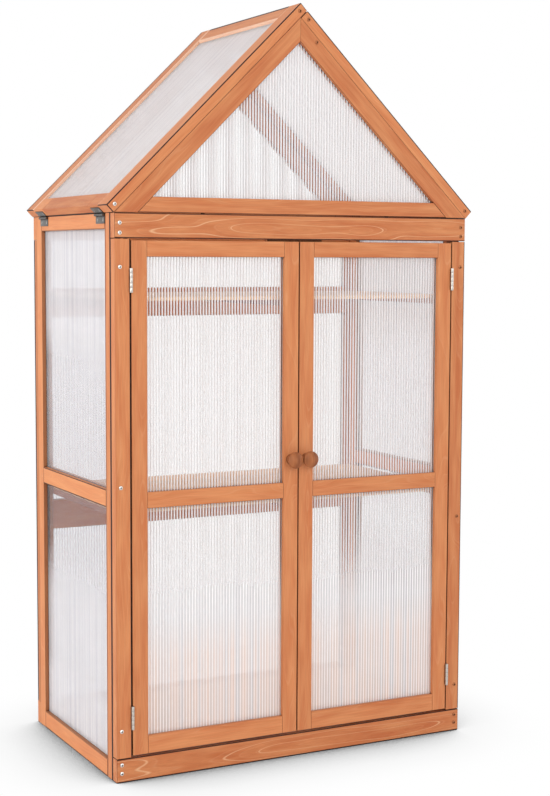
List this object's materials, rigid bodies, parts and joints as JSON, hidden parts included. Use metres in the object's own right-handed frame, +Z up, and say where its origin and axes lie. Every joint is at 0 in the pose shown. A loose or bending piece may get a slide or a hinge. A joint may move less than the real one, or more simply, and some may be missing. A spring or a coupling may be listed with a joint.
{
  "type": "mini greenhouse",
  "caption": "Slim wooden mini greenhouse: a stained fir cabinet with glazed double doors, slatted shelves and a steep gable roof whose milky twin-wall halves lift on eave hinges.",
  "frame": {"origin": "Centre of the footprint's bounding box, on the floor", "axes": "+Z up; +X to the right seen from the front; +Y to the rear, so the doors face -Y"},
  "size_m": [0.7908, 0.4907, 1.4601],
  "materials": {
    "stained_fir": "satin",
    "twin_wall_sheet": "translucent",
    "nickel_steel": "bright",
    "zinc_screw": "zinc plated",
    "dark_zinc": "dark zinc plated"
  },
  "bodies": {
    "cabinet": {"front_posts": "stained_fir", "front_rails": "stained_fir", "rear_posts": "stained_fir", "rear_rails": "stained_fir", "side_stiles": "stained_fir", "side_rails": "stained_fir", "gable_rafters": "stained_fir", "gable_rails": "stained_fir", "rear_panes": "twin_wall_sheet", "side_panes": "twin_wall_sheet", "gable_panes": "twin_wall_sheet", "floor_boards": "stained_fir", "shelf_boards": "stained_fir", "shelf_cleats": "stained_fir", "shelf_battens": "stained_fir", "dowels": "stained_fir", "door_stop": "stained_fir", "frame_screws": "zinc_screw", "gable_screws": "zinc_screw", "magnets": "nickel_steel", "door_post_leaves": "nickel_steel", "door_hinge_pins": "nickel_steel", "hinge_screws": "nickel_steel", "roof_wall_leaves": "dark_zinc", "roof_hinge_pins": "dark_zinc", "rafter_eyes": "dark_zinc"},
    "left_door": {"left_door_stiles": "stained_fir", "left_door_rails": "stained_fir", "left_door_panes": "twin_wall_sheet", "left_knob": "stained_fir", "left_knob_screw": "zinc_screw", "left_strike": "nickel_steel", "left_door_hinge_leaves": "nickel_steel", "left_door_hinge_screws": "nickel_steel"},
    "left_roof": {"left_roof_stiles": "stained_fir", "left_roof_eave_rail": "stained_fir", "left_roof_ridge_rail": "stained_fir", "left_roof_pane": "twin_wall_sheet", "left_roof_hinge_leaves": "dark_zinc", "left_roof_hinge_screws": "dark_zinc", "left_roof_screws": "zinc_screw", "left_roof_eye": "dark_zinc"},
    "left_roof_hook": {"left_hook": "dark_zinc"},
    "right_door": {"right_door_stiles": "stained_fir", "right_door_rails": "stained_fir", "right_door_panes": "twin_wall_sheet", "right_knob": "stained_fir", "right_knob_screw": "zinc_screw", "right_strike": "nickel_steel", "right_door_hinge_leaves": "nickel_steel", "right_door_hinge_screws": "nickel_steel"},
    "right_roof": {"right_roof_stiles": "stained_fir", "right_roof_eave_rail": "stained_fir", "right_roof_ridge_rail": "stained_fir", "right_roof_pane": "twin_wall_sheet", "right_roof_hinge_leaves": "dark_zinc", "right_roof_hinge_screws": "dark_zinc", "right_roof_screws": "zinc_screw", "right_roof_eye": "dark_zinc"},
    "right_roof_hook": {"right_hook": "dark_zinc"}
  },
  "joints": [
    {"name": "left_door_hinge", "type": "hinge", "parent": "cabinet", "child": "left_door", "pos_m": [-0.3488, -0.21945, 0.52925], "axis": [0, 0, -1], "range_deg": [0, 175]},
    {"name": "left_roof_hinge", "type": "hinge", "parent": "cabinet", "child": "left_roof", "pos_m": [-0.3827, 0.00865, 1.05604], "axis": [0, -1, 0], "range_deg": [0, 130]},
    {"name": "left_hook_swing", "type": "hinge", "parent": "left_roof", "child": "left_roof_hook", "pos_m": [-0.22981, 0.24025, 1.21707], "axis": [0, -1, 0], "range_deg": [-90, 25]},
    {"name": "right_door_hinge", "type": "hinge", "parent": "cabinet", "child": "right_door", "pos_m": [0.3488, -0.21945, 0.52925], "axis": [0, 0, 1], "range_deg": [0, 175]},
    {"name": "right_roof_hinge", "type": "hinge", "parent": "cabinet", "child": "right_roof", "pos_m": [0.3827, 0.00865, 1.05604], "axis": [0, 1, 0], "range_deg": [0, 130]},
    {"name": "right_hook_swing", "type": "hinge", "parent": "right_roof", "child": "right_roof_hook", "pos_m": [0.22981, 0.24025, 1.21707], "axis": [0, 1, 0], "range_deg": [-90, 25]}
  ]
}
